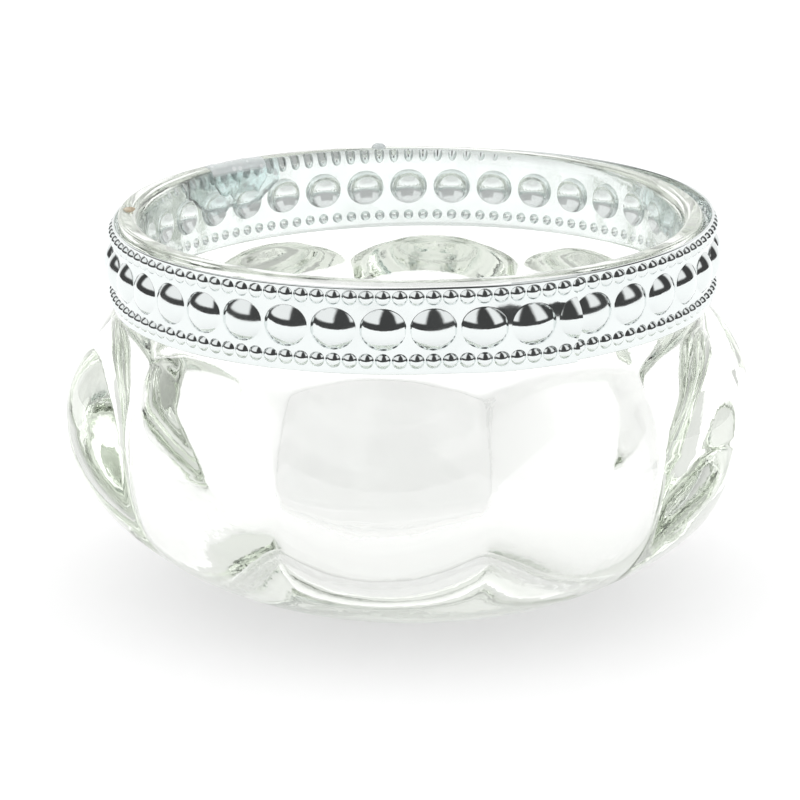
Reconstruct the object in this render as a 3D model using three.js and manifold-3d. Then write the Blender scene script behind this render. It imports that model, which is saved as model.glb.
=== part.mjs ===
// Votive candle holder: a lobed glass bowl with a stamped, silvered strip glued round its neck.
// Millimetres, +Z up. The origin is the middle of the foot.
// Angles start at the front (-Y) and grow towards +X.
import * as THREE from 'three';
import Module from 'manifold-3d';

const { degToRad, lerp, smoothstep } = THREE.MathUtils;

// Bowl, outside
const BOWL_HEIGHT = 50;
const FOOT_RADIUS = 21.5;
const BELLY_HEIGHT = 24;
const BELLY_RADIUS = 46; // at the middle of a lobe
const CREASE_RADIUS = 42.2; // between two lobes
const LOBE_COUNT = 10;
const NECK_RADIUS = 38.4;
const CREASE_SHOULDER_DROP = 2.6; // a crease meets the neck this much lower than a lobe does
const CREASE_START = 3; // the creases deepen from this height
const CREASE_FULL = 24; // to this one

// Bowl, inside: a plain tapered pot, as a plunger presses it
const FLOOR_THICKNESS = 11;
const FLOOR_CORNER = 16; // rounding between the floor and the wall
const POT_TAPER = 0.6; // how much the wall comes in on its way down to the floor
const NECK_WALL = 3.8; // at the foot of the neck
const LIP_WALL = 3;
const LIP_ROUND = 0.6;

// How slowly a wall turns in from the belly: 1 is a quarter ellipse, more is flatter
const LOWER_FULLNESS = 1.1;
const UPPER_FULLNESS = 3.2;

// Stamped strip
const STRIP_HEIGHT = 11.1;
const STRIP_THICKNESS = 0.35;
const STRIP_BELOW_LIP = 0.6;
const STRIP_ABOVE_SHOULDER = 0.9;
const STRIP_GAP = 0.75; // between the neck and the strip, all round, were they concentric
const STRIP_SHIFT = 0.35; // the strip sits this far towards +X
const SEAM_ANGLE = degToRad(35.3);
const TONGUE_COLUMNS = 4; // the plain end that the other end laps over
const RAMP_COLUMNS = 4; // the stretch where the lapping end climbs
const LAP_GAP = 0.5;

// Large beads in one row, small pearls in a row above and a row below
const BEAD_PITCH = 6.3;
const BEAD_WIDTH = 5.9;
const BEAD_HEIGHT = 5.3;
const BEAD_RISE = 1.35;
const PEARLS_PER_BEAD = 3;
const PEARL_DIAMETER = 2;
const PEARL_RISE = 0.75;
const TOP_PEARL_INSET = 1.325; // from the strip's edge to the middle of the row
const BOTTOM_PEARL_INSET = 1.725;
const STAMP_SINK = 0.2; // how deep a stamped dome starts inside the sheet

// Hot-melt glue: pads behind the strip, and what was squeezed out or dropped on the lip
const GLUE_CLEARANCE = 0.12;
const GLUE_FILM = 0.3;
const GLUE_TOP_BELOW_LIP = 0.9;
const PAD_HEIGHT = 7;
const PAD_TAPER = 0.5; // share of its height that a pad loses at each end
const RIGHT_PAD = [degToRad(84), degToRad(128)];
const REAR_PAD = [degToRad(-146), degToRad(-120)];
const SMEAR = [degToRad(-141), degToRad(-126)];
const SMEAR_DRIP = 3;
const DROP_ANGLE = degToRad(-168);
const DROP_SIZE = new THREE.Vector3(2, 1.6, 0.7);
const SCRAP_ANGLE = degToRad(-84.5);
const SCRAP_SIZE = new THREE.Vector3(2.6, 1.6, 0.3);

// Mesh steps
const COLUMNS_PER_LOBE = 6;
const LOWER_ROWS = 8;
const UPPER_ROWS = 6;
const CORNER_ROWS = 8;
const LIP_TURNS = [0, Math.PI / 4, Math.PI / 2];
const BEAD_SIDES = 10;
const CUP_SIDES = 6;
const PEARL_SIDES = 6;
const DROP_SIDES = 10;
const GLUE_ROWS = 3;
const GLUE_STEP = degToRad(3);

const TURN = Math.PI * 2;
const STRIP_TOP = BOWL_HEIGHT - STRIP_BELOW_LIP;
const STRIP_BOTTOM = STRIP_TOP - STRIP_HEIGHT;
const SHOULDER_HEIGHT = STRIP_BOTTOM - STRIP_ABOVE_SHOULDER; // where a lobe meets the neck
const LIP_INNER_RADIUS = NECK_RADIUS - LIP_WALL;
const LIP_MIDDLE_RADIUS = NECK_RADIUS - LIP_WALL / 2;
const THROAT_RADIUS = NECK_RADIUS - NECK_WALL;
const STRIP_INNER_RADIUS = NECK_RADIUS + STRIP_GAP;
const STRIP_OUTER_RADIUS = STRIP_INNER_RADIUS + STRIP_THICKNESS;
const STRIP_CENTRE = new THREE.Vector3(STRIP_SHIFT, 0, 0);
const PEARL_ROWS = [STRIP_BOTTOM + BOTTOM_PEARL_INSET, STRIP_TOP - TOP_PEARL_INSET];
const BEAD_ROW = (PEARL_ROWS[0] + PEARL_ROWS[1]) / 2;

// One column of the strip carries one pearl in each row. The stamped columns make a full turn.
const COLUMN_ANGLE = BEAD_PITCH / PEARLS_PER_BEAD / STRIP_OUTER_RADIUS;
const STAMPED_COLUMNS = Math.floor(TURN / COLUMN_ANGLE);
const STRIP_COLUMNS = TONGUE_COLUMNS + STAMPED_COLUMNS;
const STRIP_START = SEAM_ANGLE - TONGUE_COLUMNS * COLUMN_ANGLE;
const TONGUE = [STRIP_START + COLUMN_ANGLE / 2, SEAM_ANGLE - COLUMN_ANGLE / 2];

const wasm = await Module();
wasm.setup();

const polar = (radius, angle, z) => new THREE.Vector3(radius * Math.sin(angle), -radius * Math.cos(angle), z);
const shares = (count) => Array.from({ length: count + 1 }, (_, i) => i / count);

function meshGeometry(points, faces) {
  const geometry = new THREE.BufferGeometry().setFromPoints(points);
  geometry.setIndex(new THREE.BufferAttribute(new Uint32Array(faces.flat()), 1));
  return geometry;
}

// Closed skin over a run of equal rings, with a tip at each end.
function loft(firstTip, rings, lastTip) {
  const count = rings[0].length;
  const points = [firstTip, ...rings.flat(), lastTip];
  const last = points.length - 1;
  const faces = [];
  for (let i = 0; i < count; i += 1) {
    const next = (i + 1) % count;
    faces.push([0, 1 + next, 1 + i]);
    for (let ring = 0; ring + 1 < rings.length; ring += 1) {
      const a = 1 + ring * count + i;
      const b = 1 + ring * count + next;
      faces.push([a, b, b + count], [a, b + count, a + count]);
    }
    faces.push([last - count + i, last - count + next, last]);
  }
  return meshGeometry(points, faces);
}

// Closed sheet between an inner face (side 0) and an outer face (side 1).
function sheet(columns, rows, pointAt) {
  const points = [];
  const faces = [];
  const at = (i, j, side) => (side * (rows + 1) + j) * (columns + 1) + i;
  const quad = (a, b, c, d) => faces.push([a, b, c], [a, c, d]);
  for (const side of [0, 1]) {
    for (let j = 0; j <= rows; j += 1) {
      for (let i = 0; i <= columns; i += 1) points.push(pointAt(i, j, side));
    }
  }
  for (let i = 0; i < columns; i += 1) {
    for (let j = 0; j < rows; j += 1) {
      quad(at(i, j, 1), at(i + 1, j, 1), at(i + 1, j + 1, 1), at(i, j + 1, 1));
      quad(at(i, j, 0), at(i, j + 1, 0), at(i + 1, j + 1, 0), at(i + 1, j, 0));
    }
    quad(at(i, 0, 1), at(i, 0, 0), at(i + 1, 0, 0), at(i + 1, 0, 1));
    quad(at(i, rows, 1), at(i + 1, rows, 1), at(i + 1, rows, 0), at(i, rows, 0));
  }
  for (let j = 0; j < rows; j += 1) {
    quad(at(0, j, 1), at(0, j + 1, 1), at(0, j + 1, 0), at(0, j, 0));
    quad(at(columns, j, 1), at(columns, j, 0), at(columns, j + 1, 0), at(columns, j + 1, 1));
  }
  return meshGeometry(points, faces);
}

// Low dome on the XY plane, closed a little below it.
function dome({ x: width, y: height, z: rise }, sides, ringCount, sink) {
  const ring = (scale, z) =>
    Array.from({ length: sides }, (_, i) => {
      const angle = (TURN * i) / sides;
      const [x, y] = [(width / 2) * Math.cos(angle), (height / 2) * Math.sin(angle)];
      return new THREE.Vector3(x * scale, y * scale, z);
    });
  const climbs = shares(ringCount + 1).slice(1).map((share) => (share * Math.PI) / 2);
  const flare = 1 + (sink * (1 - Math.cos(climbs[0]))) / (rise * Math.sin(climbs[0]));
  const rings = climbs.slice(0, -1).map((climb) => ring(Math.cos(climb), rise * Math.sin(climb)));
  rings.unshift(ring(flare, -sink));
  return loft(new THREE.Vector3(0, 0, -sink), rings, new THREE.Vector3(0, 0, rise));
}

function toSolid(geometry) {
  const vertProperties = geometry.attributes.position.array;
  return new wasm.Manifold(new wasm.Mesh({ numProp: 3, vertProperties, triVerts: geometry.index.array }));
}

function toGeometry(solid) {
  const { vertProperties, triVerts } = solid.getMesh();
  const geometry = new THREE.BufferGeometry();
  geometry.setAttribute('position', new THREE.BufferAttribute(vertProperties, 3));
  geometry.setIndex(new THREE.BufferAttribute(triVerts, 1));
  return geometry;
}

// Radius of a wall that is upright at the belly and turns in until endHeight.
function arcRadius(z, bellyRadius, endRadius, endHeight, fullness) {
  const turnedIn = (share) => 1 - Math.sqrt(1 - (share / fullness) ** 2);
  const share = Math.min(1, (z - BELLY_HEIGHT) / (endHeight - BELLY_HEIGHT));
  return lerp(bellyRadius, endRadius, turnedIn(share) / turnedIn(1));
}

// Sharp creases outside, which fade out above a round foot.
function outerRadius(z, angle) {
  const lobe = Math.abs(Math.cos((LOBE_COUNT * angle) / 2));
  if (z < BELLY_HEIGHT) {
    const depth = (BELLY_RADIUS - CREASE_RADIUS) * smoothstep(z, CREASE_START, CREASE_FULL);
    return arcRadius(z, BELLY_RADIUS, FOOT_RADIUS, 0, LOWER_FULLNESS) - depth * (1 - lobe);
  }
  const wall = (bellyRadius, shoulder) => arcRadius(z, bellyRadius, NECK_RADIUS, shoulder, UPPER_FULLNESS);
  const crease = wall(CREASE_RADIUS, SHOULDER_HEIGHT - CREASE_SHOULDER_DROP);
  return lerp(crease, wall(BELLY_RADIUS, SHOULDER_HEIGHT), lobe);
}

// Straight wall inside, with a wide rounded corner round the floor.
function innerRadius(z) {
  const depth = (SHOULDER_HEIGHT - z) / (SHOULDER_HEIGHT - FLOOR_THICKNESS);
  const below = Math.max(0, FLOOR_THICKNESS + FLOOR_CORNER - z);
  const inset = FLOOR_CORNER - Math.sqrt(FLOOR_CORNER ** 2 - below ** 2);
  return THROAT_RADIUS - POT_TAPER * depth - inset;
}

// Inner edge of the lip, turning from upright (0) to level (a quarter turn).
const lipInset = (turn) => LIP_ROUND * (1 - Math.cos(turn));
const lipHeight = (turn) => BOWL_HEIGHT - LIP_ROUND * (1 - Math.sin(turn));

function makeBowl() {
  const slow = (share) => 1 - Math.cos((Math.PI / 2) * share);
  const upper = shares(UPPER_ROWS).map((share) => lerp(BELLY_HEIGHT, SHOULDER_HEIGHT, share));
  const lower = shares(LOWER_ROWS).map((share) => BELLY_HEIGHT * slow(share));
  const corner = shares(CORNER_ROWS).map((share) => FLOOR_THICKNESS + FLOOR_CORNER * slow(share));
  const outside = [...lower, ...upper.slice(1)];
  const inside = [...corner, SHOULDER_HEIGHT].reverse();
  const lip = LIP_TURNS.map((turn) => [lipHeight(turn), NECK_RADIUS - lipInset(turn)]);
  const innerLip = LIP_TURNS.map((turn) => [lipHeight(turn), LIP_INNER_RADIUS + lipInset(turn)]).reverse();
  const rows = [
    ...outside.map((z) => [z, (angle) => outerRadius(z, angle)]),
    ...[...lip, ...innerLip].map(([z, radius]) => [z, () => radius]),
    ...inside.map((z) => [z, () => innerRadius(z)]),
  ];
  const columns = LOBE_COUNT * COLUMNS_PER_LOBE;
  const angles = Array.from({ length: columns }, (_, i) => (TURN * i) / columns);
  const rings = rows.map(([z, radiusAt]) => angles.map((angle) => polar(radiusAt(angle), angle, z)));
  return loft(new THREE.Vector3(0, 0, 0), rings, new THREE.Vector3(0, 0, FLOOR_THICKNESS));
}

// Point on the edge between two columns of the strip. The lapping end climbs clear of the tongue.
function stripPoint(column, radius, z) {
  const climb = smoothstep(column, STAMPED_COLUMNS - RAMP_COLUMNS, STAMPED_COLUMNS);
  const lift = (STRIP_THICKNESS + LAP_GAP) * climb;
  return polar(radius + lift, STRIP_START + column * COLUMN_ANGLE, z).add(STRIP_CENTRE);
}

// Frame on a column's outer face, sunk by depth, with X along the strip, Y up and Z out of the face.
function columnFrame(column, z, depth) {
  const start = stripPoint(column, STRIP_OUTER_RADIUS, z);
  const end = stripPoint(column + 1, STRIP_OUTER_RADIUS, z);
  const along = end.clone().sub(start).normalize();
  const up = new THREE.Vector3(0, 0, 1);
  const out = along.clone().cross(up);
  const middle = start.add(end).multiplyScalar(0.5).addScaledVector(out, -depth);
  return new THREE.Matrix4().makeBasis(along, up, out).setPosition(middle);
}

// Block past the cut end of the strip, as large as one bead.
function pastStripEnd() {
  const frame = columnFrame(STRIP_COLUMNS, BEAD_ROW, 0);
  frame.setPosition(stripPoint(STRIP_COLUMNS, STRIP_OUTER_RADIUS, BEAD_ROW));
  const corner = (i, j, side) => new THREE.Vector3(i, 2 * j - 1, 2 * side - 1).multiplyScalar(BEAD_PITCH);
  return toSolid(sheet(1, 1, corner).applyMatrix4(frame));
}

function makeStrip() {
  const plain = sheet(STRIP_COLUMNS, 1, (i, j, side) =>
    stripPoint(i, side ? STRIP_OUTER_RADIUS : STRIP_INNER_RADIUS, j ? STRIP_TOP : STRIP_BOTTOM),
  );
  const pearlSize = new THREE.Vector3(PEARL_DIAMETER, PEARL_DIAMETER, PEARL_RISE);
  const beadSize = new THREE.Vector3(BEAD_WIDTH, BEAD_HEIGHT, BEAD_RISE);
  const cupSize = beadSize.clone().sub(new THREE.Vector3(2 * STRIP_THICKNESS, 2 * STRIP_THICKNESS, 0));
  const pearl = dome(pearlSize, PEARL_SIDES, 0, STAMP_SINK);
  const bead = dome(beadSize, BEAD_SIDES, 2, STAMP_SINK);
  const cup = dome(cupSize, CUP_SIDES, 1, STAMP_SINK);
  const place = (shape, frame) => toSolid(shape.clone().applyMatrix4(frame));
  const past = pastStripEnd();
  const raised = [];
  const hollows = [];
  for (let column = TONGUE_COLUMNS; column < STRIP_COLUMNS; column += 1) {
    for (const z of PEARL_ROWS) raised.push(place(pearl, columnFrame(column, z, 0)));
  }
  for (let column = TONGUE_COLUMNS; column < STRIP_COLUMNS; column += PEARLS_PER_BEAD) {
    const middle = column + (PEARLS_PER_BEAD - 1) / 2;
    const wholeBead = place(bead, columnFrame(middle, BEAD_ROW, 0));
    const wholeCup = place(cup, columnFrame(middle, BEAD_ROW, STRIP_THICKNESS));
    const cutShort = column + PEARLS_PER_BEAD > STRIP_COLUMNS;
    raised.push(cutShort ? wholeBead.subtract(past) : wholeBead);
    hollows.push(cutShort ? wholeCup.subtract(past) : wholeCup);
  }
  const stamped = wasm.Manifold.union([toSolid(plain), ...raised]);
  return toGeometry(stamped.subtract(wasm.Manifold.union(hollows)));
}

// Distance from the bowl's axis to the strip's inner face.
function stripInnerRadius(angle) {
  const ahead = STRIP_SHIFT * Math.sin(angle);
  const aside = STRIP_SHIFT * Math.cos(angle);
  return ahead + Math.sqrt(STRIP_INNER_RADIUS ** 2 - aside ** 2);
}

// Pad between the neck and the strip, level on top and drawn up at both ends.
function makePad([from, to]) {
  const columns = Math.ceil((to - from) / GLUE_STEP);
  const top = BOWL_HEIGHT - GLUE_TOP_BELOW_LIP;
  return sheet(columns, GLUE_ROWS, (i, j, side) => {
    const angle = lerp(from, to, i / columns);
    const hang = PAD_HEIGHT * (1 - PAD_TAPER * (2 * (i / columns) - 1) ** 2);
    const radius = side ? stripInnerRadius(angle) - GLUE_CLEARANCE : NECK_RADIUS + GLUE_CLEARANCE;
    return polar(radius, angle, lerp(top - hang, top, j / GLUE_ROWS));
  });
}

// Film between the tongue and the end that laps over it.
function makeLapFilm() {
  const columns = TONGUE_COLUMNS;
  return sheet(columns, 1, (i, j, side) => {
    const radius = STRIP_OUTER_RADIUS + (side ? LAP_GAP - GLUE_CLEARANCE : GLUE_CLEARANCE);
    const z = BEAD_ROW + (PAD_HEIGHT / 2) * (j ? 1 : -1);
    return polar(radius, lerp(...TONGUE, i / columns), z).add(STRIP_CENTRE);
  });
}

// Film over the flat of the lip, round its inner edge and a little way down the neck.
function makeSmear([from, to]) {
  const columns = Math.ceil((to - from) / GLUE_STEP);
  const wallShare = SMEAR_DRIP / (lipHeight(0) - SHOULDER_HEIGHT);
  const dripRadius = lerp(LIP_INNER_RADIUS, THROAT_RADIUS, wallShare);
  const edge = [...LIP_TURNS].reverse();
  const path = [
    { radius: NECK_RADIUS - LIP_ROUND, z: BOWL_HEIGHT, facing: Math.PI / 2 },
    ...edge.map((turn) => ({ radius: LIP_INNER_RADIUS + lipInset(turn), z: lipHeight(turn), facing: turn })),
    { radius: dripRadius, z: lipHeight(0) - SMEAR_DRIP, facing: 0 },
  ];
  return sheet(columns, path.length - 1, (i, j, side) => {
    const { radius, z, facing } = path[j];
    const off = GLUE_CLEARANCE + (side ? GLUE_FILM : 0);
    const angle = lerp(from, to, i / columns);
    return polar(radius - off * Math.cos(facing), angle, z + off * Math.sin(facing));
  });
}

const glass = new THREE.MeshStandardMaterial({ color: 0xe6eeea, roughness: 0.04, metalness: 0 });
const silver = new THREE.MeshStandardMaterial({ color: 0xdfe8ea, roughness: 0.12, metalness: 1 });
const clearGlue = new THREE.MeshStandardMaterial({ color: 0xdde3e4, roughness: 0.45, metalness: 0 });
const brownGlue = new THREE.MeshStandardMaterial({ color: 0xc9b392, roughness: 0.5, metalness: 0 });

function piece(name, geometry, material) {
  const mesh = new THREE.Mesh(geometry, material);
  mesh.name = name;
  return mesh;
}

// Lump of glue on the flat of the lip, with its length along the lip.
function lipLump(name, size, angle, material) {
  const lump = piece(name, dome(size, DROP_SIDES, 1, 0), material);
  lump.position.copy(polar(LIP_MIDDLE_RADIUS, angle, BOWL_HEIGHT + GLUE_CLEARANCE));
  lump.rotation.z = angle;
  return lump;
}

const holder = new THREE.Group();
holder.add(
  piece('glass_bowl', makeBowl(), glass),
  piece('band_strip', makeStrip(), silver),
  piece('glue_right_pad', makePad(RIGHT_PAD), clearGlue),
  piece('glue_rear_pad', makePad(REAR_PAD), clearGlue),
  piece('glue_seam_pad', makePad(TONGUE), clearGlue),
  piece('glue_lap_film', makeLapFilm(), clearGlue),
  piece('glue_lip_smear', makeSmear(SMEAR), clearGlue),
  lipLump('glue_lip_drop', DROP_SIZE, DROP_ANGLE, clearGlue),
  lipLump('glue_lip_scrap', SCRAP_SIZE, SCRAP_ANGLE, brownGlue),
);

export default holder;
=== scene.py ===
"""Looks of a votive candle holder: a lobed glass bowl with a stamped, silvered strip glued round its neck.

Lengths in the shape code are millimetres, and meshes are written in metres, in the CAD frame.
Angles start at the front (-Y) and grow towards +X.
"""
import math

import bmesh
import bpy
import numpy as np
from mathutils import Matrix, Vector


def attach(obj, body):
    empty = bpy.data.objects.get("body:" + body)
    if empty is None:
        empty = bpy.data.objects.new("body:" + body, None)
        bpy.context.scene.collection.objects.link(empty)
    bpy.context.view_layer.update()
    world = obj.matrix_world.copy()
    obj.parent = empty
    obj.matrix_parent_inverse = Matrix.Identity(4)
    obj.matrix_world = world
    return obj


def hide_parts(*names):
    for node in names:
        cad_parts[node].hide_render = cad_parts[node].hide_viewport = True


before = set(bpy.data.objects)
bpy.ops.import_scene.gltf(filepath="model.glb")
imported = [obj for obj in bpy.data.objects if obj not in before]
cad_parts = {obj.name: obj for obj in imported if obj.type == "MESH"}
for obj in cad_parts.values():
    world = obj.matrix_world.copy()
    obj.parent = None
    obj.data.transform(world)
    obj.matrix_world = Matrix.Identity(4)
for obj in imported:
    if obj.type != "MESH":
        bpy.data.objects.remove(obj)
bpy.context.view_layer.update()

MM = 0.001

# Bowl, as in the CAD
BOWL_HEIGHT = 50.0
FOOT_RADIUS = 21.5
BELLY_HEIGHT = 24.0
CREASE_RADIUS = 42.2
LOBE_COUNT = 10
NECK_RADIUS = 38.4
SHOULDER_HEIGHT = 37.4
CREASE_SHOULDER_DROP = 2.6
CREASE_START = 3.0
CREASE_FULL = 24.0
FLOOR_THICKNESS = 11.0
FLOOR_CORNER = 16.0
THROAT_RADIUS = 34.6
POT_TAPER = 0.6
LIP_INNER_RADIUS = 35.4
LIP_ROUND = 0.6
LOWER_FULLNESS = 1.1
UPPER_FULLNESS = 3.2

# Bowl, finer than in the CAD: softer edges, and the wave that the mould left inside
BELLY_RADIUS = 45.98
FOOT_ROUND = 0.35
FOOT_EDGE = 0.8
SHOULDER_FILLET = 1.6
SHOULDER_PAST = 1.15
NECK_BLEND = 0.6
NECK_SINK = 1.0
CREASE_ROUND = 0.001
LIP_INNER_ROUND = (1.5, 2.2)
MOULD_WAVE = 0.015
MOULD_WAVE_TURNS = 9
MOULD_WAVE_LEAN = 1.6
MOULD_WAVE_TOP = 30.0

# Strip, as in the CAD; places along it are counted in columns, one pearl wide
STRIP_BOTTOM = 38.3
STRIP_TOP = 49.4
STRIP_THICKNESS = 0.35
STRIP_OUTER_RADIUS = 39.5
STRIP_INNER_RADIUS = STRIP_OUTER_RADIUS - STRIP_THICKNESS
STRIP_SHIFT = 0.35
SEAM_ANGLE = math.radians(35.3)
COLUMN = 2.1
COLUMN_ANGLE = COLUMN / STRIP_OUTER_RADIUS
TONGUE_COLUMNS = 4
STRIP_START = SEAM_ANGLE - TONGUE_COLUMNS * COLUMN_ANGLE
RAMP = (114, 118)
LAP_LIFT = 0.85
PEARLS_PER_BEAD = 3
ROW_EDGES = (38.95, 41.1, 47.0, 49.15)

# Strip, finer than in the CAD: it sits askew, its end leans in, and its domes are round caps
STRIP_RAISE = 0.15
STRIP_TILT = 0.016
STRIP_WOBBLE = 0.03
STRIP_END = 122.35
END_LEAN = 0.36
END_LEAN_COLUMNS = (114.5, 118)
END_LEAN_HEIGHTS = (44.2, 46.8)
STAMPED_BEADS = 40
BEAD_HALF = (3.05, 2.75)
BEAD_RISE = 1.1
BEAD_SLOPE = math.radians(42)
PEARL_HALF = (1.03, 1.0)
PEARL_RISE = 0.55
PEARL_SLOPE = math.radians(57)
DOME_FOOT = 0.95
DOME_RING = 1.015
CUP_INSET = 0.3
EDGE_ROUND = ((0.12, 0), (0.03, 0.17), (0, 0.5), (0.03, 0.83), (0.12, 1))  # inset, share of the thickness

# Glue, in the CAD's places, with uneven edges
GLUE_GAP = 0.03
GLUE_TOP = 49.1
PAD_GAP = 0.12
PAD_HEIGHT = 7.0
PAD_TAPER = 0.5
PAD_FILL = 0.88
PAD_UNEVENNESS = 0.1
PAD_TOP_DROP = 0.25
PAD_TOP_UNEVENNESS = 0.2
RIGHT_PAD = (math.radians(84), math.radians(128))
REAR_PAD = (math.radians(-146), math.radians(-120))
TONGUE = (STRIP_START + COLUMN_ANGLE / 2, SEAM_ANGLE - COLUMN_ANGLE / 2)
LAP_FILM = 0.24
LAP_FILL = 0.9
LAP_UNEVENNESS = 0.08
SMEAR = (math.radians(-141), math.radians(-126))
SMEAR_FILM = 0.3
SMEAR_FILM_UNEVENNESS = 0.25
SMEAR_REACH = (0.45, 0.95)  # shares of the lip's flat, at the smear's ends and in its middle
SMEAR_REACH_UNEVENNESS = 0.1
SMEAR_DRIP = (0.5, 2.4)  # way down the neck: the least, and what streaks add
LEAST_BULGE = 0.02
RIM_SHARE = 0.12
QUARTER_ARC = 1.11  # length of a quarter of an ellipse over that of its chord
THROAT_LEAN = 0.07
DROP_ANGLE = math.radians(-168)
DROP_SIZE = (2, 1.6, 0.7)
SCRAP_ANGLE = math.radians(-84.5)
SCRAP_SIZE = (2.5, 1.5, 0.3)

# Mesh steps; flat rings are shares of their outermost radius
COLUMNS_PER_LOBE = 36
FOOT_RINGS = (0.25, 0.5, 0.75, 0.9)
FOOT_STEPS = 4
WALL_ROWS = 48
NECK_ROWS = 8
LIP_STEPS = 8
THROAT_ROWS = 10
POT_ROWS = 32
CORNER_ROWS = 40
FLOOR_RINGS = (0.97, 0.9, 0.7, 0.45, 0.2)
STEPS_PER_COLUMN = 5
PEARL_STEPS = 5
BEAD_STEPS = 8
OUTER_DOME_RINGS = 6
INNER_DOME_RINGS = 4
BEAD_EXTRA_RINGS = 2
JOIN_DIGITS = 4
CUT_TOLERANCE = 1e-3
PAD_COLUMNS_PER_DEGREE = 2
LAP_COLUMNS = 24
GLUE_ROWS = 16
SMEAR_COLUMNS = 60
SMEAR_ROWS = 32
LUMP_SIDES = 40
LUMP_RINGS = 12

# Finish; heights and radii in metres
SCUFF_RING = (0.017, 0.018)
SCUFF_HEIGHTS = (0.0002, 0.0004)
MILKY_HEIGHTS = (0.0486, 0.0494)
BUBBLE_HAZE = 0.2
GLUE_ROUGHNESS_SPREAD = 0.1

# Stage floor, in metres
STAGE_SIDE = 3.0
STAGE_FRONT = -0.3
STAGE_LEVEL = -0.0002

# Light, where 1 is white; a lamp is its left, right, lower and upper edge in degrees
FLOOR_GLOW = 0.36
FLOOR_GLOW_IN_GLASS = 0.2
LEFT_LAMP = (-100, -17, 15, 88)
RIGHT_LAMP = (46, 90, 15, 88)
BACKDROP = (130, 230, -20, 65)
DARK_IN_SILVER = 0.06
FRONT_IN_GLASS = 0.48
BACK_IN_GLASS = 0.85
LAMPS_IN_GLASS = 0.92
FRONT_LIGHT = 0.9
BACK_LIGHT = 1.1

# Sky, in parts of a unit direction: the lamps' soft edges, then ramps towards the back or up
SOFT_SIDE = 0.1
SOFT_BOTTOM = 0.06
SOFT_TOP = 0.03
ROOM_DEPTH = (0.0, 0.9)
LIGHT_DEPTH = (-0.6, 0.6)
CEILING = (0.5, 0.75)
FLOOR_IN_SILVER = (-0.15, -0.25)
FLOOR_IN_GLASS = (0.02, -0.02)

# Camera, in metres and degrees
CAMERA_AZIMUTH = 5.3
CAMERA_ELEVATION = 15.9
CAMERA_DISTANCE = 0.62
CAMERA_LENS = 210.1
AIM_HEIGHT = 0.02405
AIM_LEFT = 0.00137


def link(name, mesh, node, material):
    """Adds a mesh as a piece of the object that stands for a CAD node."""
    mesh.materials.append(material)
    for polygon in mesh.polygons:
        polygon.use_smooth = True
    mesh.set_sharp_from_angle(angle=math.radians(55))
    piece = bpy.data.objects.new(name, mesh)
    bpy.context.scene.collection.objects.link(piece)
    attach(piece, "root")
    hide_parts(node)


def mesh_from(name, points, faces):
    """Mesh in metres from points in millimetres."""
    mesh = bpy.data.meshes.new(name)
    mesh.from_pydata((np.asarray(points) * MM).tolist(), [], faces)
    mesh.validate()
    mesh.update()
    return mesh


def polar(radius, angle, z):
    """Points at a distance from the axis, an angle round it and a height."""
    radius, angle, z = np.broadcast_arrays(radius, angle, z)
    return np.stack([radius * np.sin(angle), -radius * np.cos(angle), z], axis=-1)


def smoothstep(x, low, high):
    t = np.clip((x - low) / (high - low), 0, 1)
    return t * t * (3 - 2 * t)


def lerp(a, b, share):
    return a + (b - a) * share


def sway(angle, z, turns):
    """Slow irregular wave round the axis, between about -1 and 1."""
    first = np.sin(turns * angle + 0.31 * z + 1.3)
    second = np.sin((2 * turns + 1) * angle - 0.47 * z + 0.4)
    third = np.sin((4 * turns - 1) * angle + 0.83 * z + 2.1)
    return 0.5 * first + 0.3 * second + 0.2 * third


def ring_faces(low, count):
    """Four-sided faces between a ring of points, whose first number is low, and the ring after it."""
    step = np.arange(count)
    follow = (step + 1) % count
    corners = (low + step, low + follow, low + count + follow, low + count + step)
    return [tuple(face) for face in np.stack(corners, axis=1).tolist()]


def fan_faces(low, count, tip):
    """Three-sided faces from a ring of points to a tip."""
    return [(low + i, low + (i + 1) % count, tip) for i in range(count)]


# Glass bowl

def arc_radius(z, belly, end, end_height, fullness, past=1.0):
    """Radius of a wall that is upright at the belly and turns in until end_height, or to a share past it."""
    def turned_in(share):
        return 1 - np.sqrt(1 - (share / fullness) ** 2)

    share = np.minimum(past, (z - BELLY_HEIGHT) / (end_height - BELLY_HEIGHT))
    return lerp(belly, end, turned_in(share) / turned_in(1))


def outer_radius(z, angle):
    """Radius of the outside: lobes between creases, which run out at the foot and the neck."""
    lobe = np.sqrt(np.cos(LOBE_COUNT * angle / 2) ** 2 + CREASE_ROUND) / math.sqrt(1 + CREASE_ROUND)
    if z < BELLY_HEIGHT:
        depth = (BELLY_RADIUS - CREASE_RADIUS) * smoothstep(z, CREASE_START, CREASE_FULL)
        return arc_radius(z, BELLY_RADIUS, FOOT_RADIUS, 0, LOWER_FULLNESS) - depth * (1 - lobe)
    crease_height = SHOULDER_HEIGHT - CREASE_SHOULDER_DROP
    shape = (UPPER_FULLNESS, SHOULDER_PAST)
    lobe_wall = arc_radius(z, BELLY_RADIUS, NECK_RADIUS, SHOULDER_HEIGHT, *shape)
    crease_wall = arc_radius(z, CREASE_RADIUS, NECK_RADIUS, crease_height, *shape)
    proud = np.maximum(-NECK_SINK, lerp(crease_wall, lobe_wall, lobe) - NECK_RADIUS)
    return NECK_RADIUS + (proud + np.sqrt(proud ** 2 + NECK_BLEND ** 2)) / 2


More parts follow.
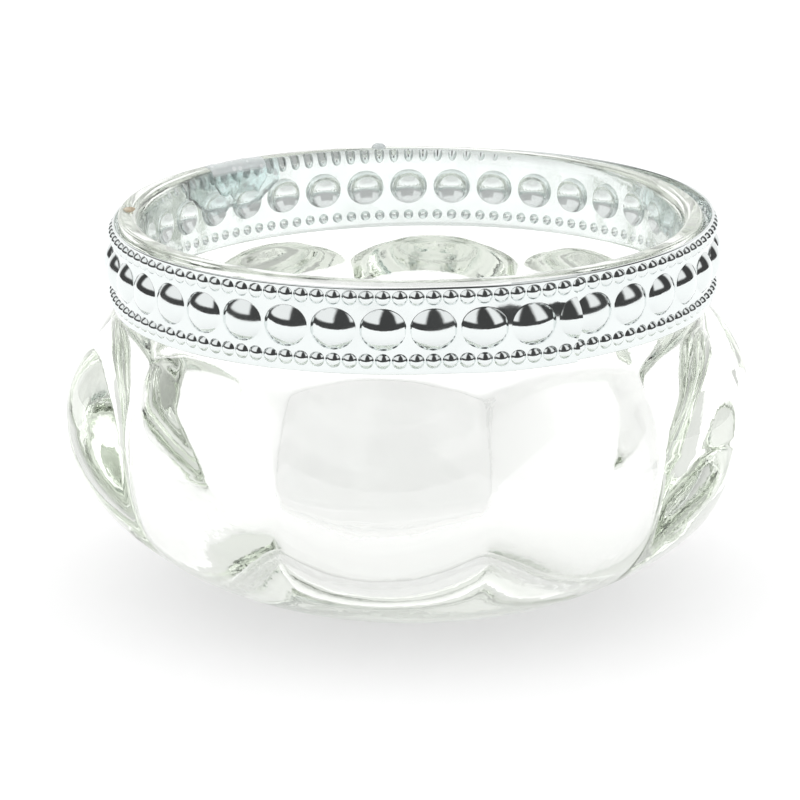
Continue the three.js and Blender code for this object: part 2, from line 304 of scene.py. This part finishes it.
def inner_radius(z, angle):
    """Plain tapered pot with a rounded corner at its floor."""
    depth = (SHOULDER_HEIGHT - z) / (SHOULDER_HEIGHT - FLOOR_THICKNESS)
    below = max(0, FLOOR_THICKNESS + FLOOR_CORNER - z)
    inset = FLOOR_CORNER - math.sqrt(FLOOR_CORNER ** 2 - below ** 2)
    fade = 1 - smoothstep(z, MOULD_WAVE_TOP, SHOULDER_HEIGHT)
    wave = MOULD_WAVE * fade * sway(angle, MOULD_WAVE_LEAN * z, MOULD_WAVE_TURNS)
    return THROAT_RADIUS - POT_TAPER * depth - inset + wave


def outside_rows(angle):
    """Height and radius of each ring of the bowl, from the middle of the foot up to the lip."""
    even = np.ones(len(angle))
    flat = FOOT_RADIUS - FOOT_EDGE
    neck_start = SHOULDER_HEIGHT + SHOULDER_FILLET
    lip_start = BOWL_HEIGHT - LIP_ROUND
    slow = 1 - np.cos(np.linspace(0, math.pi / 2, WALL_ROWS + 1))
    rows = [(0.0, share * flat * even) for share in FOOT_RINGS]
    for turn in np.linspace(0, 1, FOOT_STEPS + 1)[:-1]:
        rows.append((FOOT_ROUND * turn ** 2, (flat + FOOT_EDGE * turn) * even))
    rows += [(z, outer_radius(z, angle)) for z in FOOT_ROUND + (BELLY_HEIGHT - FOOT_ROUND) * slow]
    rows += [(z, outer_radius(z, angle)) for z in np.linspace(BELLY_HEIGHT, neck_start, WALL_ROWS + 1)[1:]]
    rows += [(z, NECK_RADIUS * even) for z in np.linspace(neck_start, lip_start, NECK_ROWS + 1)[1:-1]]
    for turn in np.linspace(0, math.pi / 2, LIP_STEPS + 1):
        inset, drop = LIP_ROUND * (1 - math.cos(turn)), LIP_ROUND * (1 - math.sin(turn))
        rows.append((BOWL_HEIGHT - drop, (NECK_RADIUS - inset) * even))
    return rows


def inside_rows(angle):
    """Height and radius of each ring of the bowl, from the lip down to the floor."""
    even = np.ones(len(angle))
    wide, tall = LIP_INNER_ROUND
    rows = []
    for turn in np.linspace(0, math.pi / 2, LIP_STEPS + 1):
        radius = LIP_INNER_RADIUS + wide * (1 - math.sin(turn))
        rows.append((BOWL_HEIGHT - tall * (1 - math.cos(turn)), radius * even))
    for share in np.linspace(0, 1, THROAT_ROWS + 1)[1:-1]:
        radius = lerp(LIP_INNER_RADIUS, THROAT_RADIUS, share)
        rows.append((lerp(BOWL_HEIGHT - tall, SHOULDER_HEIGHT, share), radius * even))
    quarter = np.linspace(0, math.pi / 2, CORNER_ROWS + 1)
    corner = FLOOR_THICKNESS + FLOOR_CORNER * (1 - np.sin(quarter))
    rows += [(z, inner_radius(z, angle)) for z in np.linspace(SHOULDER_HEIGHT, corner[0], POT_ROWS + 1)[:-1]]
    rows += [(z, inner_radius(z, angle)) for z in corner]
    floor_edge = THROAT_RADIUS - POT_TAPER - FLOOR_CORNER
    rows += [(FLOOR_THICKNESS, share * floor_edge * even) for share in FLOOR_RINGS]
    return rows


def make_bowl():
    columns = LOBE_COUNT * COLUMNS_PER_LOBE
    angle = np.arange(columns) * 2 * math.pi / columns
    rings = [polar(radius, angle, z) for z, radius in outside_rows(angle) + inside_rows(angle)]
    points = np.concatenate([[[0, 0, 0]], *rings, [[0, 0, FLOOR_THICKNESS]]])
    last = len(points) - 1
    faces = [face[::-1] for face in fan_faces(1, columns, 0)]
    for ring in range(len(rings) - 1):
        faces += ring_faces(1 + ring * columns, columns)
    faces += fan_faces(last - columns, columns, last)
    return mesh_from("glass_bowl", points, faces)


# Stamped strip, drawn flat: columns along it, height, and rise off its face

def cell_edge(width, height, across, up):
    """Points round a cell, about its middle."""
    x = np.linspace(-width / 2, width / 2, across + 1)
    y = np.linspace(-height / 2, height / 2, up + 1)
    low = [(v, y[0]) for v in x[:-1]]
    right = [(x[-1], v) for v in y[:-1]]
    top = [(v, y[-1]) for v in x[:0:-1]]
    left = [(x[0], v) for v in y[:0:-1]]
    return np.array(low + right + top + left)


def dome_profile(slope, steps):
    """Scale and share of the rise for each ring of a round cap, with a hollow fillet outside its foot."""
    wide, tall = math.sin(slope), 1 - math.cos(slope)
    fillet = 1 - DOME_FOOT
    rings = [(DOME_RING, 0)]
    for lean in (0, slope / 3, slope * 2 / 3):
        rings.append((1 - fillet * math.sin(lean) / wide, fillet * (1 - math.cos(lean))))
    for lean in np.linspace(slope, 0, steps + 1)[:-1]:
        climbed = (math.cos(lean) - math.cos(slope)) / tall
        rings.append((DOME_FOOT * math.sin(lean) / wide, fillet + DOME_FOOT * climbed))
    return rings


def stamped_cell(middle, edge, half, rise, base, profile):
    """Points and faces of one cell with its dome: rings from the cell's edge to the top."""
    turn = np.arctan2(edge[:, 1] / half[1], edge[:, 0] / half[0])
    ellipse = np.stack([np.cos(turn) * half[0], np.sin(turn) * half[1]], axis=1)
    count = len(edge)
    rings = [np.column_stack([edge, np.full(count, base)])]
    for scale, share in profile:
        rings.append(np.column_stack([ellipse * scale, np.full(count, base + share * rise)]))
    points = np.concatenate(rings + [[[0, 0, base + rise]]])
    points[:, 0] = middle[0] + points[:, 0] / COLUMN
    points[:, 1] += middle[1]
    faces = []
    for ring in range(len(rings) - 1):
        faces += ring_faces(ring * count, count)
    faces += fan_faces((len(rings) - 1) * count, count, len(points) - 1)
    return points, faces


def grid_cell(columns, path):
    """Points and faces of a path of (height, rise) swept along a run of columns."""
    points = np.array([(c, z, h) for z, h in path for c in columns])
    count = len(columns)
    faces = []
    for row in range(len(path) - 1):
        for i in range(count - 1):
            a = row * count + i
            faces.append((a, a + 1, a + 1 + count, a + count))
    return points, faces


def strip_face(base, inset, rings):
    """Cells of one face of the strip, base off its outer face: the plain tongue, the pearls, the beads."""
    low, bead_low, bead_top, top = ROW_EDGES
    bead_columns = PEARLS_PER_BEAD * STEPS_PER_COLUMN
    pearl_edge = cell_edge(COLUMN, bead_low - low, STEPS_PER_COLUMN, PEARL_STEPS)
    bead_edge = cell_edge(PEARLS_PER_BEAD * COLUMN, bead_top - bead_low, bead_columns, BEAD_STEPS)
    heights = np.concatenate([
        np.linspace(low, bead_low, PEARL_STEPS + 1),
        np.linspace(bead_low, bead_top, BEAD_STEPS + 1)[1:],
        np.linspace(bead_top, top, PEARL_STEPS + 1)[1:],
    ])
    tongue = np.linspace(0, TONGUE_COLUMNS, TONGUE_COLUMNS * STEPS_PER_COLUMN + 1)
    cells = [grid_cell(tongue, [(z, base) for z in heights])]
    half = (PEARL_HALF[0] - inset, PEARL_HALF[1] - inset)
    profile = dome_profile(PEARL_SLOPE, rings)
    for column in range(TONGUE_COLUMNS, TONGUE_COLUMNS + PEARLS_PER_BEAD * STAMPED_BEADS):
        for z in ((low + bead_low) / 2, (bead_top + top) / 2):
            cells.append(stamped_cell((column + 0.5, z), pearl_edge, half, PEARL_RISE, base, profile))
    half = (BEAD_HALF[0] - inset, BEAD_HALF[1] - inset)
    profile = dome_profile(BEAD_SLOPE, rings + BEAD_EXTRA_RINGS)
    for bead in range(STAMPED_BEADS):
        middle = (TONGUE_COLUMNS + PEARLS_PER_BEAD * (bead + 0.5), (bead_low + bead_top) / 2)
        cells.append(stamped_cell(middle, bead_edge, half, BEAD_RISE, base, profile))
    return cells


def strip_cells():
    """All cells of the strip: the outer face, the inner one with its hollow domes, and the long edges."""
    t = STRIP_THICKNESS
    cells = strip_face(0.0, 0.0, OUTER_DOME_RINGS)
    for points, faces in strip_face(-t, CUP_INSET, INNER_DOME_RINGS):
        cells.append((points, [face[::-1] for face in faces]))
    last_column = TONGUE_COLUMNS + PEARLS_PER_BEAD * STAMPED_BEADS
    columns = np.linspace(0, last_column, last_column * STEPS_PER_COLUMN + 1)
    low, top = ROW_EDGES[0], ROW_EDGES[-1]
    over_top = [(top, 0)] + [(STRIP_TOP - inset, -share * t) for inset, share in EDGE_ROUND] + [(top, -t)]
    under = [(low, 0)] + [(STRIP_BOTTOM + inset, -share * t) for inset, share in EDGE_ROUND] + [(low, -t)]
    cells.append(grid_cell(columns, over_top))
    cells.append(grid_cell(columns, under[::-1]))
    return cells


def bend_strip(points):
    """Flat strip points to their places round the neck; the strip sits a little askew."""
    s, z, h = points.T
    angle = STRIP_START + s * COLUMN_ANGLE
    lift = LAP_LIFT * smoothstep(s, *RAMP)
    lean = END_LEAN * smoothstep(s, *END_LEAN_COLUMNS) * smoothstep(z, *END_LEAN_HEIGHTS)
    wobble = STRIP_WOBBLE * sway(angle, z, turns=5)
    places = polar(STRIP_OUTER_RADIUS + lift + h - lean + wobble, angle, z)
    places[:, 0] += STRIP_SHIFT
    places[:, 2] += STRIP_RAISE + STRIP_TILT * places[:, 0]
    return places


def joined_cells(cells):
    """One flat mesh of all cells, with the points that they share joined."""
    points = np.concatenate([p for p, _ in cells])
    starts = np.cumsum([0] + [len(p) for p, _ in cells[:-1]])
    keys = np.round(points, JOIN_DIGITS)
    _, first, inverse = np.unique(keys, axis=0, return_index=True, return_inverse=True)
    inverse = inverse.ravel()
    faces = []
    for start, (_, cell_faces) in zip(starts, cells):
        faces += [tuple(inverse[start + np.array(face)].tolist()) for face in cell_faces]
    flat = bpy.data.meshes.new("flat_strip")
    flat.from_pydata(points[first].tolist(), [], faces)
    return flat


def make_strip():
    """The strip, cut off at its end, closed at both ends and bent round the neck."""
    flat = joined_cells(strip_cells())
    work = bmesh.new()
    work.from_mesh(flat)
    bpy.data.meshes.remove(flat)
    whole = list(work.verts) + list(work.edges) + list(work.faces)
    cut = {"plane_co": (STRIP_END, 0, 0), "plane_no": (1, 0, 0)}
    bmesh.ops.bisect_plane(work, geom=whole, clear_outer=True, **cut)
    for end in (0, STRIP_END):
        at_end = {v for v in work.verts if abs(v.co.x - end) < CUT_TOLERANCE}
        rim = [e for e in work.edges if e.is_boundary and at_end.issuperset(e.verts)]
        bmesh.ops.triangle_fill(work, edges=rim, use_beauty=True)
    bmesh.ops.recalc_face_normals(work, faces=work.faces)
    bent = bend_strip(np.array([v.co for v in work.verts]))
    for vertex, place in zip(work.verts, bent):
        vertex.co = place * MM
    mesh = bpy.data.meshes.new("band_strip")
    work.to_mesh(mesh)
    work.free()
    return mesh


# Glue

def sheet(name, outer, inner):
    """Closed mesh between two grids of points."""
    rows, columns = outer.shape[:2]
    count = rows * columns
    at = np.arange(count).reshape(rows, columns)
    faces = []
    for j in range(rows - 1):
        for i in range(columns - 1):
            a, b, c, d = at[j, i], at[j, i + 1], at[j + 1, i + 1], at[j + 1, i]
            faces.append((a, b, c, d))
            faces.append((a + count, d + count, c + count, b + count))
    rim = np.concatenate([at[0, :-1], at[:-1, -1], at[-1, :0:-1], at[:0:-1, 0]])
    for a, b in zip(rim, np.roll(rim, -1)):
        faces.append((b, a, a + count, b + count))
    points = np.concatenate([outer.reshape(-1, 3), inner.reshape(-1, 3)])
    return mesh_from(name, points, [tuple(int(v) for v in face) for face in faces])


def strip_inner_radius(angle):
    """Distance from the bowl's axis to the strip's inner face."""
    aside = STRIP_SHIFT * np.cos(angle)
    return STRIP_SHIFT * np.sin(angle) + np.sqrt(STRIP_INNER_RADIUS ** 2 - aside ** 2)


def pillow(u, v):
    """Thickness share over a patch, full in the middle and thin at its rim."""
    edge = np.maximum(np.abs(2 * u - 1), np.abs(2 * v - 1))
    return RIM_SHARE + (1 - RIM_SHARE) * np.sqrt(1 - edge ** 4)


def make_pad(name, start, end):
    """Pad between the neck and the strip, with uneven edges."""
    columns = round(math.degrees(end - start) * PAD_COLUMNS_PER_DEGREE)
    u = np.linspace(0, 1, columns + 1)[None, :]
    v = np.linspace(0, 1, GLUE_ROWS + 1)[:, None]
    angle = lerp(start, end, u)
    fill = PAD_FILL + PAD_UNEVENNESS * sway(angle, 0, turns=31)
    hang = PAD_HEIGHT * (1 - PAD_TAPER * (2 * u - 1) ** 2) * fill
    top = GLUE_TOP - PAD_TOP_DROP + PAD_TOP_UNEVENNESS * sway(angle, 3, turns=43)
    z = lerp(GLUE_TOP - hang, top, v)
    near = NECK_RADIUS + GLUE_GAP
    far = strip_inner_radius(angle) - PAD_GAP
    middle, half = (near + far) / 2, (far - near) / 2 * pillow(u, v)
    return sheet(name, polar(middle + half, angle, z), polar(middle - half, angle, z))


def make_lap_film():
    """Film between the tongue and the end that laps over it."""
    u = np.linspace(0, 1, LAP_COLUMNS + 1)[None, :]
    v = np.linspace(0, 1, GLUE_ROWS + 1)[:, None]
    angle = lerp(*TONGUE, u)
    tall = PAD_HEIGHT * (LAP_FILL + LAP_UNEVENNESS * sway(angle, 0, turns=29))
    z = (ROW_EDGES[1] + ROW_EDGES[2]) / 2 + (v - 0.5) * tall
    middle = STRIP_OUTER_RADIUS + (LAP_LIFT - STRIP_THICKNESS) / 2
    half = LAP_FILM / 2 * pillow(u, v)
    shift = np.array([STRIP_SHIFT, 0, 0])
    outer = polar(middle + half, angle, z) + shift
    return sheet("glue_lap_film", outer, polar(middle - half, angle, z) + shift)


def uneven(spread, angle, z, turns):
    """Share that wavers round the axis, between about 1 - 2 * spread and 1."""
    return 1 - spread + spread * sway(angle, z, turns)


def make_smear(start, end):
    """Film over the flat of the lip, round its inner edge and a little way down the neck."""
    u = np.linspace(0, 1, SMEAR_COLUMNS + 1)
    v = np.linspace(0, 1, SMEAR_ROWS + 1)
    outer = np.zeros((len(v), len(u), 3))
    inner = np.zeros((len(v), len(u), 3))
    wide, tall = LIP_INNER_ROUND
    flat = NECK_RADIUS - LIP_INNER_RADIUS - LIP_ROUND - wide
    bend = math.hypot(wide, tall) * QUARTER_ARC
    least_drip, streak_drip = SMEAR_DRIP
    for i, along in enumerate(u):
        angle = lerp(start, end, along)
        bulge = math.sqrt(max(LEAST_BULGE, 1 - (2 * along - 1) ** 4))
        reach = flat * lerp(*SMEAR_REACH, bulge) * uneven(SMEAR_REACH_UNEVENNESS, angle, 2, turns=37)
        streak = (1 + sway(angle, 5, turns=33) ** 2) / 2
        drip = (least_drip + streak_drip * bulge * streak) * bulge
        for j, across in enumerate(v):
            path = lerp(-reach, bend + drip, across)
            down = max(0, path - bend)
            turn = min(max(path / bend, 0), 1) * math.pi / 2
            radius = LIP_INNER_RADIUS + wide * (1 - math.sin(turn)) + max(0, -path) - THROAT_LEAN * down
            z = BOWL_HEIGHT - tall * (1 - math.cos(turn)) - down
            film = SMEAR_FILM * pillow(along, across) * uneven(SMEAR_FILM_UNEVENNESS, angle, 3 * z, turns=41)
            for grid, off in ((inner, GLUE_GAP), (outer, GLUE_GAP + film)):
                grid[j, i] = polar(radius - off * math.sin(turn), angle, z + off * math.cos(turn))
    return sheet("glue_lip_smear", outer, inner)


def make_lump(name, size, angle, unevenness):
    """Lump of glue on the flat of the lip, with its length along the lip."""
    turn = np.arange(LUMP_SIDES) * 2 * math.pi / LUMP_SIDES
    outline = 1 + unevenness * sway(turn, 0, turns=3)
    length, width, rise = size
    middle = (NECK_RADIUS + LIP_INNER_RADIUS) / 2
    rings = []
    for climb in np.linspace(0, math.pi / 2, LUMP_RINGS)[:-1]:
        scale = math.cos(climb) * outline
        along, across = length / 2 * scale * np.cos(turn), width / 2 * scale * np.sin(turn)
        height = rise * math.sin(climb) * (1 + unevenness / 2 * sway(turn, 7 * climb, turns=2))
        rings.append(np.stack([along, across, height], axis=1))
    x, y, z = np.concatenate([[[0, 0, 0]], *rings, [[0, 0, rise]]]).T
    placed = polar(middle - y, angle + x / middle, BOWL_HEIGHT + GLUE_GAP + z)
    last = len(placed) - 1
    faces = [face[::-1] for face in fan_faces(1, LUMP_SIDES, 0)]
    for ring in range(len(rings) - 1):
        faces += ring_faces(1 + ring * LUMP_SIDES, LUMP_SIDES)
    faces += fan_faces(last - LUMP_SIDES, LUMP_SIDES, last)
    return mesh_from(name, placed, faces)


# Materials

class Graph:
    """Short calls that add and join shader nodes."""

    def __init__(self, tree):
        self.tree = tree

    def add(self, kind, **inputs):
        node = self.tree.nodes.new(kind)
        for name, value in inputs.items():
            self.feed(node.inputs[name], value)
        return node

    def feed(self, socket, value):
        if isinstance(value, bpy.types.NodeSocket):
            self.tree.links.new(value, socket)
        else:
            socket.default_value = value

    def math(self, operation, a, b):
        node = self.tree.nodes.new("ShaderNodeMath")
        node.operation = operation
        self.feed(node.inputs[0], a)
        self.feed(node.inputs[1], b)
        return node.outputs[0]

    def ramp(self, value, near, far, start=0.0, end=1.0):
        """Smooth step from start, where value is near, to end, where it is far."""
        node = self.tree.nodes.new("ShaderNodeMapRange")
        node.interpolation_type = "SMOOTHSTEP"
        for name, number in (("From Min", near), ("From Max", far), ("To Min", start), ("To Max", end)):
            node.inputs[name].default_value = number
        self.feed(node.inputs["Value"], value)
        return node.outputs["Result"]

    def noise(self, scale, detail=4.0):
        coords = self.tree.nodes.new("ShaderNodeTexCoord")
        node = self.add("ShaderNodeTexNoise", Vector=coords.outputs["Object"], Scale=scale, Detail=detail)
        return node.outputs["Fac"]

    def blend(self, share, first, second):
        """Colour between two colours."""
        node = self.tree.nodes.new("ShaderNodeMix")
        node.data_type = "RGBA"
        self.feed(node.inputs["Factor"], share)
        colour_inputs = node.inputs[6:8]
        colour_inputs[0].default_value = (*first, 1)
        colour_inputs[1].default_value = (*second, 1)
        return node.outputs[2]

    def choose(self, share, first, second):
        """Number between two numbers."""
        node = self.tree.nodes.new("ShaderNodeMix")
        self.feed(node.inputs[0], share)
        self.feed(node.inputs[2], first)
        self.feed(node.inputs[3], second)
        return node.outputs[0]

    def bump(self, height, strength, distance):
        node = self.add("ShaderNodeBump", Height=height, Strength=strength, Distance=distance)
        return node.outputs["Normal"]


def new_material(name):
    material = bpy.data.materials.new(name)
    material.use_nodes = True
    return material, Graph(material.node_tree), material.node_tree.nodes["Principled BSDF"]


def set_inputs(shader, values):
    for name, value in values.items():
        shader.inputs[name].default_value = value


def make_glass():
    """Clear soda glass, faintly green in depth, slightly wavy, with a scuffed ring under the foot."""
    material, graph, shader = new_material("glass")
    set_inputs(shader, {"Base Color": (1, 1, 1, 1), "Transmission Weight": 1, "IOR": 1.5})
    coords = graph.tree.nodes.new("ShaderNodeTexCoord").outputs["Object"]
    split = graph.add("ShaderNodeSeparateXYZ", Vector=coords)
    distance = graph.add("ShaderNodeVectorMath", Vector=coords)
    distance.operation = "LENGTH"
    ring = graph.ramp(distance.outputs["Value"], *SCUFF_RING)
    under = graph.math("MULTIPLY", ring, graph.ramp(split.outputs["Z"], *SCUFF_HEIGHTS, start=1, end=0))
    scuffs = graph.ramp(graph.noise(scale=900), near=0.3, far=0.6, start=0.15, end=0.45)
    graph.feed(shader.inputs["Roughness"], graph.math("MULTIPLY", under, scuffs))
    waves = graph.noise(scale=260, detail=3)
    graph.feed(shader.inputs["Normal"], graph.bump(waves, strength=0.05, distance=0.0004))
    absorb = graph.add("ShaderNodeVolumeAbsorption", Color=(0.42, 0.68, 0.2, 1), Density=1.5)
    output = material.node_tree.nodes["Material Output"]
    graph.feed(output.inputs["Volume"], absorb.outputs["Volume"])
    return material


def make_silver():
    """Silvered film with cloudy patches and a fine grain."""
    material, graph, shader = new_material("silver")
    set_inputs(shader, {"Metallic": 1})
    cloud = graph.noise(scale=180)
    grain = graph.noise(scale=1600)
    bright, dull = (0.84, 0.875, 0.87), (0.78, 0.82, 0.815)
    graph.feed(shader.inputs["Base Color"], graph.blend(cloud, bright, dull))
    graph.feed(shader.inputs["Roughness"], graph.ramp(cloud, near=0.35, far=0.65, start=0.06, end=0.14))
    graph.feed(shader.inputs["Normal"], graph.bump(grain, strength=0.12, distance=0.00006))
    return material


def make_glue(name, light, dark, milky, roughness):
    """Hot-melt glue: clear where it fills the gap round the neck, milky where it lies on the lip."""
    material, graph, shader = new_material(name)
    set_inputs(shader, {"IOR": 1.45})
    coords = graph.tree.nodes.new("ShaderNodeTexCoord").outputs["Object"]
    height = graph.add("ShaderNodeSeparateXYZ", Vector=coords).outputs["Z"]
    cloud = graph.noise(scale=500)
    cells = graph.add("ShaderNodeTexVoronoi", Vector=coords, Scale=700.0)
    bubble = graph.ramp(cells.outputs["Distance"], near=0.2, far=0.3, start=1, end=0)
    share = graph.math("MAXIMUM", bubble, graph.ramp(cloud, near=0.45, far=0.7))
    clear = graph.ramp(height, *MILKY_HEIGHTS, start=1, end=milky)
    clear = graph.math("SUBTRACT", clear, graph.math("MULTIPLY", bubble, BUBBLE_HAZE))
    graph.feed(shader.inputs["Base Color"], graph.blend(share, dark, light))
    graph.feed(shader.inputs["Transmission Weight"], clear)
    dullest = roughness + GLUE_ROUGHNESS_SPREAD
    rough = graph.ramp(cloud, near=0.3, far=0.7, start=roughness, end=dullest)
    graph.feed(shader.inputs["Roughness"], rough)
    graph.feed(shader.inputs["Normal"], graph.bump(share, strength=0.08, distance=0.0001))
    return material


# Stage

def make_floor():
    """White sweep that ends a little way in front of the holder, as a table does."""
    material, graph, shader = new_material("white_floor")
    set_inputs(shader, {"Base Color": (0.8, 0.8, 0.8, 1), "Roughness": 0.9, "Emission Color": (1, 1, 1, 1)})
    path = graph.tree.nodes.new("ShaderNodeLightPath")
    seen = graph.math("MAXIMUM", path.outputs["Is Camera Ray"], path.outputs["Is Glossy Ray"])
    seen = graph.math("MAXIMUM", seen, path.outputs["Is Transmission Ray"])
    extra = graph.math("MULTIPLY", path.outputs["Is Transmission Ray"], FLOOR_GLOW_IN_GLASS)
    glow = graph.math("ADD", graph.math("MULTIPLY", seen, FLOOR_GLOW), extra)
    graph.feed(shader.inputs["Emission Strength"], glow)
    side, front, level = STAGE_SIDE, STAGE_FRONT, STAGE_LEVEL
    corners = [(-side, front, level), (side, front, level), (side, side, level), (-side, side, level)]
    mesh = bpy.data.meshes.new("floor")
    mesh.from_pydata(corners, [], [(0, 1, 2, 3)])
    mesh.materials.append(material)
    floor = bpy.data.objects.new("floor", mesh)
    bpy.context.scene.collection.objects.link(floor)


def softbox(graph, direction, up, edges):
    """1 inside a patch of the sky with soft edges, given by two azimuths and two elevations."""
    left, right, low, high = (math.radians(edge) for edge in edges)

    def side_of(azimuth, sign):
        """1 on the side of larger azimuths (sign 1) or of smaller ones (sign -1)."""
        dot = graph.tree.nodes.new("ShaderNodeVectorMath")
        dot.operation = "DOT_PRODUCT"
        graph.feed(dot.inputs[0], direction)
        dot.inputs[1].default_value = (sign * math.cos(azimuth), sign * math.sin(azimuth), 0)
        return graph.ramp(dot.outputs["Value"], -SOFT_SIDE, SOFT_SIDE)

    across = graph.math("MULTIPLY", side_of(left, 1), side_of(right, -1))
    bottom, top = math.sin(low), math.sin(high)
    above = graph.ramp(up, bottom - SOFT_BOTTOM, bottom + SOFT_BOTTOM)
    below = graph.ramp(up, top - SOFT_TOP, top + SOFT_TOP, start=1, end=0)
    return graph.math("MULTIPLY", across, graph.math("MULTIPLY", above, below))


def make_world():
    """White room; silver and glass also see its dark camera side, with a tall lamp at each hand."""
    world = bpy.data.worlds.new("studio")
    bpy.context.scene.world = world
    world.use_nodes = True
    graph = Graph(world.node_tree)
    graph.tree.nodes.clear()
    output = graph.tree.nodes.new("ShaderNodeOutputWorld")
    direction = graph.tree.nodes.new("ShaderNodeTexCoord").outputs["Generated"]
    split = graph.add("ShaderNodeSeparateXYZ", Vector=direction)
    back, up = split.outputs["Y"], split.outputs["Z"]
    left_lamp = softbox(graph, direction, up, LEFT_LAMP)
    lamps = graph.math("MAXIMUM", left_lamp, softbox(graph, direction, up, RIGHT_LAMP))

    # Seen in silver: lamps, backdrop and floor in a dark room
    bright = graph.math("MAXIMUM", lamps, softbox(graph, direction, up, BACKDROP))
    bright = graph.math("MAXIMUM", bright, graph.ramp(up, *FLOOR_IN_SILVER))
    bright = graph.math("MULTIPLY", bright, 1 - DARK_IN_SILVER)
    in_silver = graph.math("ADD", DARK_IN_SILVER, bright)

    # Seen through glass: a grey room, paler at the back, with its lamps, ceiling and floor
    high_lights = graph.math("MAXIMUM", lamps, graph.ramp(up, *CEILING))
    high_lights = graph.math("MULTIPLY", high_lights, LAMPS_IN_GLASS)
    in_glass = graph.ramp(back, *ROOM_DEPTH, FRONT_IN_GLASS, BACK_IN_GLASS)
    in_glass = graph.math("MAXIMUM", in_glass, high_lights)
    in_glass = graph.math("MAXIMUM", in_glass, graph.ramp(up, *FLOOR_IN_GLASS))

    light = graph.ramp(back, *LIGHT_DEPTH, FRONT_LIGHT, BACK_LIGHT)
    path = graph.tree.nodes.new("ShaderNodeLightPath")
    shiny = graph.math("MAXIMUM", path.outputs["Is Glossy Ray"], path.outputs["Is Transmission Ray"])
    plain = graph.choose(path.outputs["Is Camera Ray"], light, 1.0)
    seen = graph.choose(path.outputs["Is Transmission Ray"], in_silver, in_glass)
    background = graph.add("ShaderNodeBackground", Strength=graph.choose(shiny, plain, seen))
    background.inputs["Color"].default_value = (1, 1, 1, 1)
    graph.feed(output.inputs["Surface"], background.outputs[0])


def make_camera():
    azimuth, elevation = math.radians(CAMERA_AZIMUTH), math.radians(CAMERA_ELEVATION)
    data = bpy.data.cameras.new("camera")
    data.lens = CAMERA_LENS
    data.clip_start = 0.01
    camera = bpy.data.objects.new("camera", data)
    bpy.context.scene.collection.objects.link(camera)
    back = Vector((
        math.sin(azimuth) * math.cos(elevation),
        -math.cos(azimuth) * math.cos(elevation),
        math.sin(elevation),
    ))
    right = Vector((math.cos(azimuth), math.sin(azimuth), 0))
    camera.location = Vector((0, 0, AIM_HEIGHT)) - right * AIM_LEFT + back * CAMERA_DISTANCE
    camera.rotation_mode = "QUATERNION"
    camera.rotation_quaternion = (-back).to_track_quat("-Z", "Y")
    bpy.context.scene.camera = camera


glass = make_glass()
silver = make_silver()
glue = make_glue("glue", light=(0.95, 0.98, 0.98), dark=(0.9, 0.95, 0.95), milky=0.35, roughness=0.05)
brown = make_glue("glue_brown", light=(0.8, 0.72, 0.58), dark=(0.6, 0.48, 0.32), milky=0.2, roughness=0.45)

link("bowl_glass", make_bowl(), "glass_bowl", glass)
link("strip_silver", make_strip(), "band_strip", silver)
for name, span in (("right", RIGHT_PAD), ("rear", REAR_PAD), ("seam", TONGUE)):
    node = f"glue_{name}_pad"
    link(f"pad_{name}", make_pad(node, *span), node, glue)
link("lap_film", make_lap_film(), "glue_lap_film", glue)
link("lip_smear", make_smear(*SMEAR), "glue_lip_smear", glue)
drop = make_lump("glue_lip_drop", DROP_SIZE, DROP_ANGLE, unevenness=0.06)
link("lip_drop", drop, "glue_lip_drop", glue)
scrap = make_lump("glue_lip_scrap", SCRAP_SIZE, SCRAP_ANGLE, unevenness=0.2)
link("lip_scrap", scrap, "glue_lip_scrap", brown)

make_floor()
make_world()
make_camera()
bpy.context.scene.view_settings.view_transform = "Standard"
bpy.context.scene.cycles.max_bounces = 24
bpy.context.scene.cycles.glossy_bounces = 16
bpy.context.scene.cycles.transmission_bounces = 24
